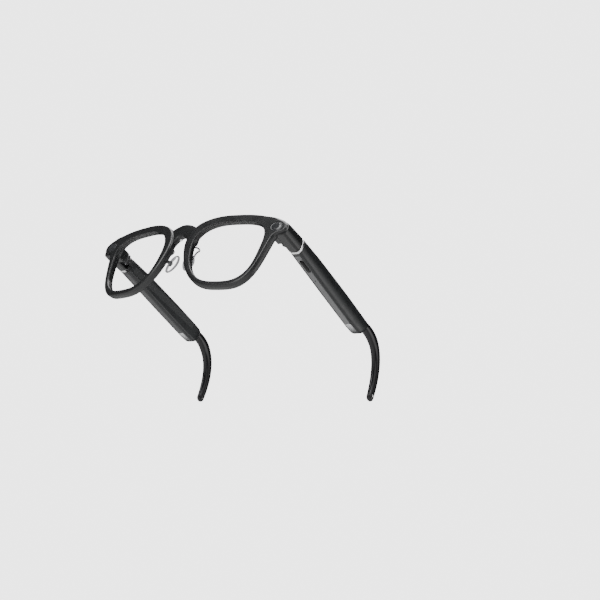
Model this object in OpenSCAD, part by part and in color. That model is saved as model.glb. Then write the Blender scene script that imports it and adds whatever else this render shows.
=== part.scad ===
// Smart glasses with camera, speakers and folding temples, millimetres.
// Row frame: X across the face, Y from the front towards the ears, Z up from the table.

/* [Front frame] */
// Half of the distance between the two lens centres
lens_x = 35; // [34:0.5:36]
// Height of the lens centres above the table
lens_z = 24.2; // [24:0.1:25]
// Angle by which each lens plane sweeps back towards the temple
wrap = 7; // [5:0.5:8]
// Lean of the front, top forwards
tilt = 4; // [3:0.5:5]
// Half width of the lens opening
open_w = 22.9; // [22:0.1:23.5]
// Half height of the lens opening
open_h = 20; // [19:0.1:20.5]
// Half width of the rim's outline
rim_w = 28.2; // [27.5:0.1:28.5]
// Half height of the rim's outline
rim_h = 24.4; // [23.5:0.1:24.8]
// Thickness of the rim, front to back
rim_t = 4.4; // [4:0.1:5]
// Height of the bevel round the front of the rim
bevel = 0.9; // [0.6:0.1:1.2]
// Thickness of a lens
lens_t = 1.8; // [1.4:0.1:2]

/* [Temples] */
// Distance of a temple's outer face from the middle
side_x = 72; // [71.5:0.5:73]
// Thickness of a temple
temple_t = 7.8; // [7.4:0.1:8.2]
// Where the temple parts from the front frame
fold_y = 20; // [19.5:0.1:20.5]
// Width of the fold gap
fold_gap = 0.3; // [0.25:0.05:0.4]
// Width of the bright ring at the front of a temple
ring_w = 1.7; // [1.4:0.1:2]
// Wall of the temple shell
wall = 1.2; // [1:0.1:1.4]

/* [Hinge] */
// Distance of the hinge axis from the middle
hinge_x = 63.3; // [63:0.1:63.6]
// Hinge axis behind the lens plane
hinge_y = 16; // [15.8:0.1:16.2]
// Radius of a knuckle
knuckle_r = 1.6; // [1.5:0.05:1.7]
// Radius of the hinge screw
pin_r = 0.7; // [0.6:0.05:0.8]
// Radial play of the turning knuckle on its screw
pin_play = 0.05; // [0.03:0.01:0.08]

/* [Ear hook] */
// Thickness of the ear hook, across the head
hook_t = 3.6; // [3.4:0.1:4.2]
// Half width of the ear hook where it starts
hook_w0 = 3.7; // [3.6:0.1:4]
// Half width of the ear hook at its tip
hook_w1 = 2.9; // [2.8:0.1:3.3]

/* [Button] */
// Length of the power button
button_l = 10.4; // [9:0.2:11]
// Width of the power button
button_w = 2.4; // [2:0.1:2.6]
// Travel of the power button
button_travel = 0.4; // [0.3:0.05:0.5]

/* [Nose pads] */
// Length of a nose pad
pad_l = 13.8; // [13:0.2:14.4]
// Radius of a nose pad's wide end
pad_r = 3.7; // [3.4:0.1:4]
// Thickness of a nose pad
pad_t = 2.4; // [2:0.1:2.8]

/* [Hidden] */
$fn = 32;
RIGHT = 1;
LEFT = -1;
eps = 0.02;
step_a = 5;

// Middle of the whole object from front to back, which the row frame is centred on
y_mid = 63.65;

// An outline is [half width, half height, side shift, lift, skew, taper, squareness of the 4 corners]
OPENING = [open_w, open_h, -0.1, -0.25, -0.03, 0.15, [3.3, 2.35, 2.6, 3.1]];
RIM = [rim_w, rim_h, -0.5, 0.35, -0.02, 0.235, [3.15, 2.15, 2.45, 3.55]];
// Blend from the rim's outline, 0, to the opening, 1
k_bevel = 0.16;
k_groove = 0.84;
k_lens = 0.86;
k_rear = 0.91;
// Depth of the lens behind the front of the rim
lens_d = 1.6;

// Housings at the ends of the front, which hold the camera and the status light
house_y = 4.5;
house_z = 34;
house_h = 10.4;
block_x = 61;
block_y = 13;
block_z = [35, 42.8];
notch_x = 67;
// Top of the lip left under the hinge
lip_z = 34.9;
cavity_x = [62.2, 70.4];
cavity_y = [5.6, 9.6];
cavity_z = [36.2, 41.6];
window_u = 30;
window_v = 15.2;
window_r = 3;
window_half = 0.8;
window_t = 0.8;

// Hinge heights: lower fixed knuckle, turning knuckle, upper fixed knuckle
knuckle_z = [36.4, 37.9, 38, 40.4, 40.5, 42.2];
plate_y = [13, 14.2];
plate_screw_x = 65.4;
plate_screw_z = [37.4, 41.2];

// Temple stations along Y, with the height of the bottom edge and the height of the section
ring_y = fold_y + fold_gap;
shell_y = ring_y + ring_w;
// The silver band stops short of the temple's inner face, which the hinge leaf fills
ring_inner_x = 65.9;
BODY = [[shell_y + eps, 34.2, 10.4], [60, 31.4, 12.6], [90, 29.5, 12.9]];
REAR = [[90, 29.5, 12.9], [96, 29.6, 12.3], [102, 33, 8.3]];
cover_t = 1.4;
strip_t = 1;
strip_x = [66, 69.7];
strip_y = [24, 86.6];
grille_y = [87.2, 95.6];
button_y = 33;
button_x = 68.2;
contact_y = [42, 47];
contact_z = 37;
contact_r = 0.9;

// Ear hook's centre line: a cubic curve through four control points in the Y-Z plane
hook_x = 69.4;
// Where the ear hook meets the temple shell
hook_y = 102;
HOOK = [[98, 37.4], [116, 40.6], [128.3, 29], [128.6, hook_w1]];
hook_steps = 20;

// Nose pad's place in the leaning front, and its turns
pad_at = [6.2, 4.3, -2.8];
pad_splay = 17;
pad_flare = 14;
pad_roll = 18;
pad_pin_z = -2.5;
pad_pin_r = 0.4;
pad_arm_z = -4.2;
wire_r = 0.45;
wire_bend_r = 0.5;
// Nose wire's bends from the rim to the pad, in the leaning front
WIRE = [[9, 0.4, 4.2], [9.2, 3, 6.6], [9.7, 4.9, 7], [10.4, 5.5, 6.2], [10.8, 5, 5],
    [10.6, 3.9, 3.2], [10.3, 3.3, 0.6], [10.10, 3.07, -1.83]];

function corner_of(list, f) = list[floor(f / 90)];
function radius(o, f, n) = 1 / pow(pow(abs(cos(f)) / o[0], n) + pow(abs(sin(f)) / o[1], n), 1 / n);
function outline_point(o, f) =
    let (r = radius(o, f, corner_of(o[6], f)), u = r * cos(f), v = r * sin(f))
    [o[2] + o[4] * v + u * (1 + o[5] * v / o[1]), v + o[3]];
function rim_point(k, f) = (1 - k) * outline_point(RIM, f) + k * outline_point(OPENING, f);
function rim_outline(k) = [for (f = [0:step_a:360 - step_a]) rim_point(k, f)];

// Temple section seen from the front, from the outer face inwards, for a section h high
function section(h, inset = 0) =
    let (x0 = side_x - inset, x1 = side_x - temple_t + inset, lo = inset, hi = h - inset)
    [[x0 - 1.6, lo], [x1 + 1.8, lo], [x1, lo + 1.8], [x1, hi - 1.8], [x1 + 1.2, hi - 0.4],
     [x1 + 2.6, hi], [x0 - 3, hi], [x0 - 1.5, hi - 0.6], [x0 - 0.5, h * 0.78], [x0, h * 0.5],
     [x0 - 0.4, h * 0.25]];

function bezier(p, t) = pow(1 - t, 3) * p[0] + 3 * pow(1 - t, 2) * t * p[1]
    + 3 * (1 - t) * t * t * p[2] + pow(t, 3) * p[3];
function slope(p, t) =
    let (d = 3 * pow(1 - t, 2) * (p[1] - p[0]) + 6 * (1 - t) * t * (p[2] - p[1])
        + 3 * t * t * (p[3] - p[2]))
    d / norm(d);
function side_point(t, w) = let (d = slope(HOOK, t)) bezier(HOOK, t) + w * [-d[1], d[0]];
function hook_width(t) = hook_w0 + (hook_w1 - hook_w0) * t;

// Placing

module centred() {
    translate([0, -y_mid, 0]) children();
}

module sided(side) {
    if (side < 0) mirror([1, 0, 0]) children();
    else children();
}

module leaning() {
    centred() translate([0, 0, lens_z]) rotate([tilt, 0, 0]) children();
}

module lens_plane(side) {
    leaning() sided(side) translate([lens_x, 0, 0]) rotate([0, 0, wrap]) children();
}

module pad_frame(side) {
    leaning() sided(side) translate(pad_at) rotate([0, -pad_flare, 0])
        rotate([90, 0, -90 - pad_splay]) rotate([0, 0, pad_roll]) children();
}

// Shapes

module slab(d0, d1) {
    rotate([90, 0, 0]) translate([0, 0, -d1]) linear_extrude(d1 - d0) children();
}

module block(x, y, z) {
    translate([x[0], y[0], z[0]]) cube([x[1] - x[0], y[1] - y[0], z[1] - z[0]]);
}

module post(x, y, z, r) {
    translate([x, y, z[0]]) cylinder(h = z[1] - z[0], r = r);
}

module rod(a, b, r) {
    d = b - a;
    translate(a) rotate([0, acos(d[2] / norm(d)), atan2(d[1], d[0])]) cylinder(h = norm(d), r = r);
}

module slice(station, inset = 0) {
    translate([0, station[0], station[1]]) rotate([90, 0, 0]) linear_extrude(eps)
        polygon(section(station[2], inset));
}

module loft(stations, inset = 0) {
    hull() for (s = stations) slice(s, inset);
}

module profile_slab(x) {
    translate([x[0], 0, 0]) rotate([90, 0, 90]) linear_extrude(x[1] - x[0]) children();
}

module stadium(half, r) {
    for (s = [-1, 1]) translate([s * half, 0]) circle(r);
    square([2 * half, 2 * r], center = true);
}

// Height of the temple's bottom edge at y
function bottom_z(y) = lookup(y, [for (s = concat(BODY, REAR)) [s[0], s[1]]]);

module bottom_band(y, x, high, low = 0) {
    profile_slab(x) polygon([for (p = [y[0], y[1]]) [p, bottom_z(p) + low],
        for (p = [y[1], y[0]]) [p, bottom_z(p) + high]]);
}

// Front frame

module end_plate() {
    polygon([[21.5, 22.3], [27, 21.7], [31, 20.6], [34.2, 19.1], [36.3, 17.2], [37, 14.9],
        [36.3, 12.7], [34, 11.4], [31.4, 10.3], [29.4, 8.3], [27.4, 3.5], [21, 3.5]]);
}

module end_plate_inset() {
    polygon([[21.5, 21.7], [27, 21], [30.8, 19.9], [33.6, 18.5], [35.5, 16.6], [36.1, 14.8],
        [35.5, 13.4], [33.6, 12.4], [30.5, 11.2], [27.8, 8.6], [26.4, 3.5], [21, 3.5]]);
}

module bridge() {
    top = [for (x = [-10:2:10]) [x, 20.4 - 1.6 * pow(x / 10, 2)]];
    arch = [for (x = [10:-1:-10]) [x, max(6, 12.6 - 6.6 * pow(x / 6.6, 2))]];
    slab(-2.4, 1.6) polygon(concat(top, arch));
}

module housing() {
    loft([[house_y, house_z + 0.2, house_h - 1.2], [fold_y - eps, house_z, house_h]]);
    block([block_x, notch_x], [house_y, block_y], block_z);
}

module housing_cuts() {
    block([block_x - 1, notch_x], [block_y, fold_y + 1], [lip_z, house_z + house_h + 2]);
    block(cavity_x, cavity_y, cavity_z);
    for (z = plate_screw_z)
        translate([plate_screw_x, block_y - 2.6, z]) rotate([-90, 0, 0]) cylinder(h = 4, r = 0.4);
}

module flex_strip(grow) {
    for (side = [RIGHT, LEFT]) lens_plane(side) slab(2.6 - grow, 3 + grow) polygon(concat(
        [for (f = [40:5:150]) rim_point(0.36, f)], [for (f = [150:-5:40]) rim_point(0.56, f)]));
    leaning() block([-10.2, 10.2], [-0.8 - grow, -0.3 + grow], [14.6 - grow, 16.2 + grow]);
}

module window_hole(d0, d1, r) {
    slab(d0, d1) translate([window_u, window_v]) stadium(window_half, r);
}

module microphone_holes(r) {
    leaning() for (x = [-2.4, 2.4]) translate([x, 0, 12]) cylinder(h = 2.6, r = r);
}

// Rims, bridge and end housings
module front_frame() {
    color([0.09, 0.09, 0.1]) difference() {
        union() {
            for (side = [RIGHT, LEFT]) {
                lens_plane(side) {
                    slab(0, bevel + eps) polygon(rim_outline(k_bevel));
                    slab(bevel, rim_t) polygon(rim_outline(0));
                    slab(0, bevel + eps) end_plate_inset();
                    slab(bevel, rim_t) end_plate();
                }
                centred() sided(side) housing();
            }
            leaning() bridge();
        }
        for (side = [RIGHT, LEFT]) {
            lens_plane(side) {
                slab(-1, rim_t + 1) polygon(rim_outline(1));
                slab(lens_d, lens_d + lens_t) polygon(rim_outline(k_groove));
                slab(lens_d + lens_t - eps, rim_t + 1) polygon(rim_outline(k_rear));
                window_hole(-1, window_t, window_r + 0.1);
                window_hole(0, rim_t + 3, window_r - 0.8);
            }
            centred() sided(side) housing_cuts();
        }
        flex_strip(0.1);
        microphone_holes(0.5);
        for (side = [RIGHT, LEFT]) leaning() sided(side) rod(WIRE[0], WIRE[1], wire_r);
    }
}

module lens(side) {
    color([0.86, 0.9, 0.92, 0.35]) lens_plane(side) slab(lens_d, lens_d + lens_t)
        polygon(rim_outline(k_lens));
}

module oval_window(side, tint) {
    color(tint) lens_plane(side) window_hole(0.1, window_t, window_r);
}

module camera_module() {
    color([0.12, 0.12, 0.14]) {
        lens_plane(RIGHT) translate([window_u, 0, window_v]) rotate([-90, 0, 0])
            translate([0, 0, window_t + 0.2]) cylinder(h = 4.5, r = 2);
        centred() block([62.5, 70], [5.8, 9.4], [36.4, 41.4]);
    }
}

module status_light() {
    color([0.15, 0.35, 0.2]) {
        centred() sided(LEFT) block([62.5, 70], [8, 9], [36.4, 41.4]);
        centred() sided(LEFT) block([64.5, 67.5], [6, 8 + eps], [37.4, 40.4]);
    }
}

module front_flex() {
    color([0.6, 0.36, 0.12]) flex_strip(0);
}

module bridge_microphone() {
    color([0.75, 0.75, 0.77]) leaning() for (x = [-2.4, 2.4])
        translate([x, 0, 12.9]) cylinder(h = 1.2, r = 0.45);
}

// Hinges

module front_hinge(side) {
    color([0.2, 0.2, 0.21]) centred() sided(side) difference() {
        union() {
            block([61.2, 66.8], plate_y, [knuckle_z[0], knuckle_z[5] + 0.4]);
            for (i = [0, 4]) {
                post(hinge_x, hinge_y, [knuckle_z[i], knuckle_z[i + 1]], knuckle_r);
                block([hinge_x - 1.2, hinge_x + 1.2], [plate_y[1] - eps, hinge_y],
                    [knuckle_z[i], knuckle_z[i + 1]]);
            }
        }
        post(hinge_x, hinge_y, [knuckle_z[0] - 1, knuckle_z[5] + 1], pin_r);
        post(hinge_x, hinge_y, [knuckle_z[1], knuckle_z[4]], knuckle_r + 0.1);
        for (z = plate_screw_z) translate([plate_screw_x, plate_y[0] - 1, z]) rotate([-90, 0, 0])
            cylinder(h = 4, r = 0.5);
    }
}

module hinge_screw(side) {
    color([0.78, 0.78, 0.8]) centred() sided(side) difference() {
        union() {
            post(hinge_x, hinge_y, [knuckle_z[0] - 0.2, knuckle_z[5] + eps], pin_r);
            post(hinge_x, hinge_y, [knuckle_z[5], knuckle_z[5] + 0.7], 1.2);
        }
        block([hinge_x - 2, hinge_x + 2], [hinge_y - 0.15, hinge_y + 0.15],
            [knuckle_z[5] + 0.4, knuckle_z[5] + 1]);
    }
}

module hinge_plate_screws() {
    color([0.7, 0.7, 0.72]) for (side = [RIGHT, LEFT], z = plate_screw_z)
        centred() sided(side) translate([plate_screw_x, plate_y[1], z]) rotate([90, 0, 0]) {
            translate([0, 0, -0.5]) cylinder(h = 0.5, r = 0.9);
            translate([0, 0, -eps]) cylinder(h = 3.4, r = 0.4);
        }
}

module temple_hinge(side) {
    color([0.2, 0.2, 0.21]) centred() sided(side) difference() {
        union() {
            post(hinge_x, hinge_y, [knuckle_z[2], knuckle_z[3]], knuckle_r);
            block([hinge_x, 66.3], [hinge_y + 1, shell_y], [knuckle_z[2], knuckle_z[3]]);
            block([ring_inner_x, 69.8], [ring_y + 0.2, 25.6], [36.4, 42]);
            block([side_x - temple_t + 0.1, ring_inner_x - 0.1], [ring_y, shell_y], [35.4, 42.8]);
            block([ring_inner_x - 0.2, ring_inner_x + eps], [ring_y + 0.2, shell_y], [36.4, 42]);
        }
        post(hinge_x, hinge_y, [knuckle_z[1], knuckle_z[4]], pin_r + pin_play);
    }
}

// Nose pads

module nose_wire(side) {
    color([0.82, 0.82, 0.84]) {
        leaning() sided(side) for (i = [0:len(WIRE) - 2]) {
            rod(WIRE[i], WIRE[i + 1], wire_r);
            translate(WIRE[i + 1]) sphere(r = wire_bend_r);
        }
        pad_frame(side) {
            rod([0, 0, pad_arm_z], [0, 0, pad_pin_z], wire_r);
            rod([-1.5, 0, pad_pin_z], [1.5, 0, pad_pin_z], pad_pin_r);
        }
    }
}

module nose_clasp(side) {
    color([0.8, 0.8, 0.82]) pad_frame(side) difference() {
        union() {
            block([-1.3, 1.3], [-1.3, 1.3], [-1.5, -1]);
            for (s = [-1, 1]) translate([s * 1.05, 0, -2.2]) cube([0.5, 2.2, 2], center = true);
        }
        rod([-2, 0, pad_pin_z], [2, 0, pad_pin_z], pad_pin_r + pin_play);
    }
}

module nose_pad(side) {
    color([0.9, 0.93, 0.94, 0.5]) pad_frame(side) translate([0, 0, -1]) linear_extrude(pad_t) hull() {
        translate([0, pad_l / 2 - pad_r]) circle(pad_r);
        translate([0, 2.9 - pad_l / 2]) circle(2.9);
    }
}

// Temples

module temple_outer() {
    loft(BODY);
    loft(REAR);
}

module temple_cavity() {
    loft([[25.8, 34, 10.6], [60, 31.4, 12.6], [92, 29.6, 12.6]], wall);
}

module cover_zone() {
    block([side_x - temple_t - 1, side_x - temple_t + cover_t], [26, 92], [0, 50]);
}

module hook_tongue(grow) {
    block([hook_x - 1.4 - grow, hook_x + 0.6 + grow], [94 - grow, hook_y + 0.5], [34.6 - grow, 40 + grow]);
}

module temple_ring(side) {
    color([0.85, 0.86, 0.88]) centred() sided(side) difference() {
        translate([0, shell_y, 34.2]) rotate([90, 0, 0]) linear_extrude(ring_w)
            polygon(section(10.4));
        translate([0, shell_y + 1, 34.2]) rotate([90, 0, 0]) linear_extrude(ring_w + 2)
            polygon(section(10.4, 1));
        block([60, ring_inner_x], [ring_y - 1, shell_y + 1], [house_z, house_z + 12]);
    }
}

module temple_shell(side) {
    color([0.1, 0.1, 0.11]) centred() sided(side) difference() {
        temple_outer();
        temple_cavity();
        block([60, 66.4], [shell_y - 1, shell_y + eps], [knuckle_z[1], knuckle_z[4]]);
        block([65.5, 70.2], [shell_y - 1, 26.2], [36.3, 42.3]);
        intersection() {
            cover_zone();
            block([0, 80], [0, 100], [36.2, 41]);
        }
        bottom_band([strip_y[0] - 0.1, grille_y[1] + 0.1], [strip_x[0] - 0.1, strip_x[1] + 0.35],
            strip_t, -1);
        bottom_band([26, grille_y[1] - 0.6], [strip_x[0] + 0.8, strip_x[1] - 0.8], 3, -1);
        if (side == RIGHT) button_shape(20, bottom_z(button_y) + 3, 0.15);
        hook_tongue(0.05);
        block([hook_x - 1.4, hook_x + 0.6], [91, 95], [34.6, 40]);
    }
}

module temple_cover(side) {
    color([0.13, 0.13, 0.14]) centred() sided(side) difference() {
        block([side_x - temple_t, side_x - temple_t + cover_t - 0.05], [26.05, 91.95],
            [36.25, 40.95]);
        if (side == LEFT) for (y = contact_y) contact(y, contact_r + 0.05);
    }
}

module contact(y, r) {
    translate([side_x - temple_t - 1, y, contact_z + 1.5]) rotate([0, 90, 0]) cylinder(h = 4, r = r);
}

module temple_strip(side) {
    color([0.3, 0.3, 0.31]) centred() sided(side) difference() {
        bottom_band(strip_y, strip_x, strip_t - 0.1);
        if (side == RIGHT) button_shape(20, 50, 0.15);
        if (side == RIGHT) translate([67.85, 46, 20]) cylinder(h = 30, r = 0.5);
    }
}

module button_shape(z0, z1, grow) {
    translate([button_x, button_y, z0]) rotate([0, 0, 90]) linear_extrude(z1 - z0)
        stadium((button_l - button_w) / 2, button_w / 2 + grow);
}

module power_button() {
    z = bottom_z(button_y);
    color([0.05, 0.05, 0.06]) centred() {
        button_shape(z - 0.4, z + strip_t + 0.2, 0);
        translate([button_x - 0.6, button_y - 1.5, z + strip_t]) cube([1.2, 3, 0.9]);
    }
}

module button_switch() {
    z = bottom_z(button_y) + strip_t + 0.9 + button_travel + 0.05;
    color([0.75, 0.75, 0.76]) centred() block([button_x - 1.2, button_x + 1.2],
        [button_y - 2, button_y + 2], [z, z + 1]);
}

module main_board() {
    color([0.1, 0.3, 0.16]) centred() {
        block([66.6, 67.3], [27, 62], [36.8, 41.4]);
        for (y = [30, 40, 50]) block([67.3 - eps, 68.6], [y, y + 6], [37.2, 41]);
    }
}

module temple_microphone() {
    z = bottom_z(46) + strip_t + 0.1;
    color([0.8, 0.78, 0.6]) centred() block([67, 68.7], [44.6, 47.4], [z, z + 1.2]);
}

module touch_board() {
    color([0.1, 0.3, 0.16]) centred() sided(LEFT) block([69, 69.6], [27, 60], [36, 41]);
}

module battery(side) {
    y = side == RIGHT ? [63.4, 82] : [63, 82];
    color([0.55, 0.57, 0.6]) centred() sided(side) block([66, 69.3], y, [33.6, 40.6]);
}

module speaker(side) {
    color([0.2, 0.2, 0.22]) centred() sided(side) {
        translate([68, 88.4, 31.2]) cylinder(h = 2.4, r = 1.1);
        block([66.4, 70], [84.6, 91.4], [33.2, 36.4]);
    }
}

module speaker_grille(side) {
    color([0.72, 0.73, 0.75]) centred() sided(side) difference() {
        bottom_band(grille_y, strip_x, strip_t - 0.1);
        for (i = [0:6], j = [0:2])
            translate([66.9 + j * 1.05, grille_y[0] + 1.2 + i, 20]) cylinder(h = 20, r = 0.3, $fn = 6);
    }
}

module charge_contacts() {
    color([0.85, 0.7, 0.35]) centred() sided(LEFT) for (y = contact_y)
        translate([side_x - temple_t, y, contact_z + 1.5]) rotate([0, 90, 0])
            cylinder(h = 2.6, r = contact_r);
}

// Ear hooks

module hook_outline(extra, t0, t1) {
    ts = [for (i = [0:hook_steps]) t0 + (t1 - t0) * i / hook_steps];
    end = bezier(HOOK, t1);
    d = slope(HOOK, t1);
    w = hook_width(t1) + extra;
    a = atan2(d[1], d[0]);
    polygon(concat(
        [for (t = ts) side_point(t, hook_width(t) + extra)],
        [for (f = [75:-15:-75]) end + w * [cos(a + f), sin(a + f)]],
        [for (i = [hook_steps:-1:0]) side_point(ts[i], -hook_width(ts[i]) - extra)]));
}

module ear_hook(side) {
    color([0.05, 0.05, 0.055]) centred() sided(side) difference() {
        union() {
            intersection() {
                profile_slab([hook_x - hook_t / 2, hook_x + hook_t / 2]) hook_outline(0, 0, 1);
                block([0, 80], [hook_y, 200], [-10, 60]);
            }
            hook_tongue(0);
        }
        profile_slab([hook_x - 0.7, hook_x + 0.7]) hook_outline(-2.4, 0.12, 0.86);
        rivet(0.95);
    }
}

module hook_core(side) {
    color([0.7, 0.7, 0.72]) centred() sided(side) profile_slab([hook_x - 0.65, hook_x + 0.65])
        hook_outline(-2.45, 0.12, 0.86);
}

module rivet(r) {
    translate([hook_x + hook_t / 2 - 0.8, HOOK[3][0], HOOK[3][1] + 1]) rotate([0, 90, 0])
        cylinder(h = 1.4, r = r);
}

module tip_rivet(side) {
    color([0.8, 0.8, 0.82]) centred() sided(side)
        translate([hook_x + hook_t / 2 - 0.8, HOOK[3][0], HOOK[3][1] + 1]) rotate([0, 90, 0])
            cylinder(h = 0.85, r = 0.9);
}

front_frame();
lens(RIGHT);  // lens_right
lens(LEFT);  // lens_left
oval_window(RIGHT, [0.16, 0.16, 0.18]);  // camera_window
camera_module();
oval_window(LEFT, [0.16, 0.16, 0.18]);  // status_window
status_light();
front_flex();
bridge_microphone();
front_hinge(RIGHT);  // front_hinge_right
front_hinge(LEFT);  // front_hinge_left
hinge_screw(RIGHT);  // hinge_screw_right
hinge_screw(LEFT);  // hinge_screw_left
hinge_plate_screws();
nose_wire(RIGHT);  // nose_wire_right
nose_wire(LEFT);  // nose_wire_left
nose_clasp(RIGHT);  // nose_clasp_right
nose_clasp(LEFT);  // nose_clasp_left
nose_pad(RIGHT);  // nose_pad_right
nose_pad(LEFT);  // nose_pad_left
temple_ring(RIGHT);  // temple_ring_right
temple_hinge(RIGHT);  // temple_hinge_right
temple_shell(RIGHT);  // temple_shell_right
temple_cover(RIGHT);  // temple_cover_right
temple_strip(RIGHT);  // temple_strip_right
speaker_grille(RIGHT);  // speaker_grille_right
speaker(RIGHT);  // speaker_right
battery(RIGHT);  // battery_right
main_board();
button_switch();
power_button();
temple_microphone();
ear_hook(RIGHT);  // ear_hook_right
hook_core(RIGHT);  // hook_core_right
tip_rivet(RIGHT);  // tip_rivet_right
temple_ring(LEFT);  // temple_ring_left
temple_hinge(LEFT);  // temple_hinge_left
temple_shell(LEFT);  // temple_shell_left
temple_cover(LEFT);  // temple_cover_left
temple_strip(LEFT);  // temple_strip_left
speaker_grille(LEFT);  // speaker_grille_left
speaker(LEFT);  // speaker_left
battery(LEFT);  // battery_left
touch_board();
charge_contacts();
ear_hook(LEFT);  // ear_hook_left
hook_core(LEFT);  // hook_core_left
tip_rivet(LEFT);  // tip_rivet_left
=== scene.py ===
"""Looks for the smart glasses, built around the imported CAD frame.

Lengths are millimetres until a mesh is made.
"""

from math import cos, pi, radians, sin

import bmesh
import bpy
from mathutils import Matrix, Vector


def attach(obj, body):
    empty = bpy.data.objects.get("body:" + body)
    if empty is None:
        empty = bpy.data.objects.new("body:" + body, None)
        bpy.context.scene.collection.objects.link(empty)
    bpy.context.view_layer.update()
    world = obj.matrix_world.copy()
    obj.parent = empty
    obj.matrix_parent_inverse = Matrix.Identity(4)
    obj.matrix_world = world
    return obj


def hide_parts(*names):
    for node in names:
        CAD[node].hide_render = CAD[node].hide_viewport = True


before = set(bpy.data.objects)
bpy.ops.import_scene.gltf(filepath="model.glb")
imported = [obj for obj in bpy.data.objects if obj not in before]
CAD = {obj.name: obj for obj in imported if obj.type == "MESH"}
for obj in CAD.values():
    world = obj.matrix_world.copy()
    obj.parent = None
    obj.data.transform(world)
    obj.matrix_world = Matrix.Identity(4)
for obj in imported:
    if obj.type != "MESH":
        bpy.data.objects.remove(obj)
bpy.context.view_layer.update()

MM = 0.001
SIDES = {"right": 1, "left": -1}
TEMPLE = {"right": "right_temple", "left": "left_temple"}
PAD = {"right": "right_pad", "left": "left_pad"}

# Sizes and places that the CAD has too
LENS_X, LENS_Z, Y_MID = 35.0, 24.2, 63.65
WRAP, TILT = radians(7), radians(4)
RIM_T = 4.4
SIDE_X, TEMPLE_T = 72.0, 7.8
FOLD_Y, RING_Y, SHELL_Y = 20.0, 20.3, 22.0
RING_INNER_X, LIP_Z = 65.9, 34.9
# An outline: half width, half height, shift along u and v, lean, taper, and how square each quarter is
OPENING = (22.9, 20, -0.1, -0.25, -0.03, 0.15, (3.3, 2.35, 2.6, 3.1))
RIM = (28.2, 24.4, -0.5, 0.35, -0.02, 0.235, (3.15, 2.15, 2.45, 3.55))
WINDOW_U, WINDOW_V, WINDOW_R, WINDOW_HALF = 30.0, 15.2, 3.0, 0.8
HOOK_X = 69.4
BUTTON_X, BUTTON_Y, BUTTON_LENGTH, BUTTON_R = 68.2, 33, 10.4, 1.2
PIN_R = 0.4
PAD_AT, PAD_SPLAY, PAD_FLARE, PAD_ROLL = (6.2, 4.3, -2.8), 17, 14, 18
PAD_PIN_Z = -2.5
# A nose wire's run in the leaning front's own (x, y, z), up to the pad
WIRE = ((9, 0.4, 4.2), (9.2, 3, 6.6), (9.7, 4.9, 7), (10.4, 5.5, 6.2), (10.8, 5, 5), (10.6, 3.9, 3.2),
        (10.3, 3.3, 0.6), (10.1, 3.07, -1.83))
# The hook's curve as a Bezier's four points (y, height)
HOOK = ((98, 37.4), (116, 40.6), (128.3, 29), (128.6, 2.9))

# Finer shapes, close to the CAD's
WIRE_R = 0.52
RIVET_X, RIVET_Y, RIVET_Z, RIVET_R = 71.35, 128.6, 3.9, 0.95
CAP_X, CAP_Y, CAP_R = 2.4, 0.9, 0.85
BRIDGE_HALF, BRIDGE_CROWN, BRIDGE_ARCH, BRIDGE_FOOT = 11, 20.5, 12.5, 6.2
ARCH_HALF, ARCH_DROP = 6.6, 6.6
BLOCK_X, BLOCK_Y, BLOCK_Z = (60.9, 67.2), (4.4, 12.95), (35, 42.8)
BAND_Z, BAND_H = 34.2, 10.4
COVER_X, COVER_Y, COVER_Z = (63, 65.6), (26, 92), (36.2, 41)
# The temple's underside and top as (y, height)
BOTTOM = ((22, 34.2), (60, 31.4), (90, 29.5), (96, 29.6), (102, 33))
TOP = ((22, 44.6), (40, 44.72), (52, 44.3), (64, 43.85), (77, 43.2), (90, 42.3), (97, 41.75), (102, 41.35))


# ---------------------------------------------------------------- placing


def row(p):
    """A point in the row frame, X across, Y back and Z up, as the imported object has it."""
    return (p[0], p[1] - Y_MID, p[2])


def lean(p):
    """A point of the leaning front, in the row frame."""
    x, y, z = p
    return (x, y * cos(TILT) - z * sin(TILT) - Y_MID, y * sin(TILT) + z * cos(TILT) + LENS_Z)


def lens_row(side, u, v, d):
    """A point on one rim: u outwards, v up, d back from its front face."""
    x = u * cos(WRAP) - d * sin(WRAP) + LENS_X
    y = u * sin(WRAP) + d * cos(WRAP)
    return lean((side * x, y, v))


def turn(axis, degrees):
    return Matrix.Rotation(radians(degrees), 3, axis)


PAD_TURN = turn("Y", -PAD_FLARE) @ turn("Z", -90 - PAD_SPLAY) @ turn("X", 90) @ turn("Z", PAD_ROLL)


def pad_row(side, p):
    """A point of one nose pad, whose own Z runs through the pad."""
    q = Vector(PAD_AT) + PAD_TURN @ Vector(p)
    return lean((side * q[0], q[1], q[2]))


def lookup(table, y):
    """The table's value at y, on straight lines between its rows."""
    if y <= table[0][0]:
        return table[0][1]
    for (a, va), (b, vb) in zip(table, table[1:]):
        if y <= b:
            return va + (vb - va) * (y - a) / (b - a)
    return table[-1][1]


# ---------------------------------------------------------------- materials


GRAIN_DEPTH = 0.02 * MM


def new_material(name):
    m = bpy.data.materials.new(name)
    m.use_nodes = True
    nt = m.node_tree
    return m, nt, nt.nodes["Principled BSDF"]


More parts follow.
